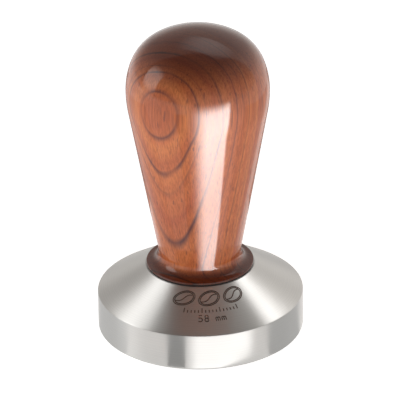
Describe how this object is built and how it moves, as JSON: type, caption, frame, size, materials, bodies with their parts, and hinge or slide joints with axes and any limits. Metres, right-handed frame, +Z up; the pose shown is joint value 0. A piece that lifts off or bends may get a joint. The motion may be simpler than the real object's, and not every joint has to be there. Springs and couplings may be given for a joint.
{
  "type": "espresso tamper",
  "caption": "Espresso tamper with a bulbous turned wooden handle that unscrews from a heavy round steel base with a flat tamping face.",
  "frame": {"origin": "centre of the flat tamping face, on the axis of turning", "axes": "+Z up the axis of turning, from the tamping face to the crown of the handle; +X is to the right of the size mark, which faces -Y"},
  "size_m": [0.058, 0.058, 0.0907],
  "materials": {
    "stainless_steel": "fine turned, satin",
    "fibre": "matt pressed fibre",
    "lacquered_wood": "turned, stained and glossy lacquered",
    "brass": "machined",
    "zinc_plated_steel": "bright zinc plate"
  },
  "bodies": {
    "base": {"tamping_base": "stainless_steel"},
    "washer": {"foot_washer": "fibre"},
    "handle": {"wooden_handle": "lacquered_wood", "threaded_insert": "brass", "threaded_stud": "zinc_plated_steel"}
  },
  "joints": [
    {"name": "handle_rise", "type": "slide", "parent": "base", "child": "washer", "axis": [0, 0, 1], "range_m": [0, 0.01375]},
    {"name": "handle_unscrew", "type": "hinge", "parent": "washer", "child": "handle", "pos_m": [0, 0, 0.0194], "axis": [0, 0, 1], "range_deg": [0, 3960]}
  ],
  "couplings": [
    {"joint": "handle_rise", "follows": "handle_unscrew", "m_per_rad": 0.00019894}
  ]
}
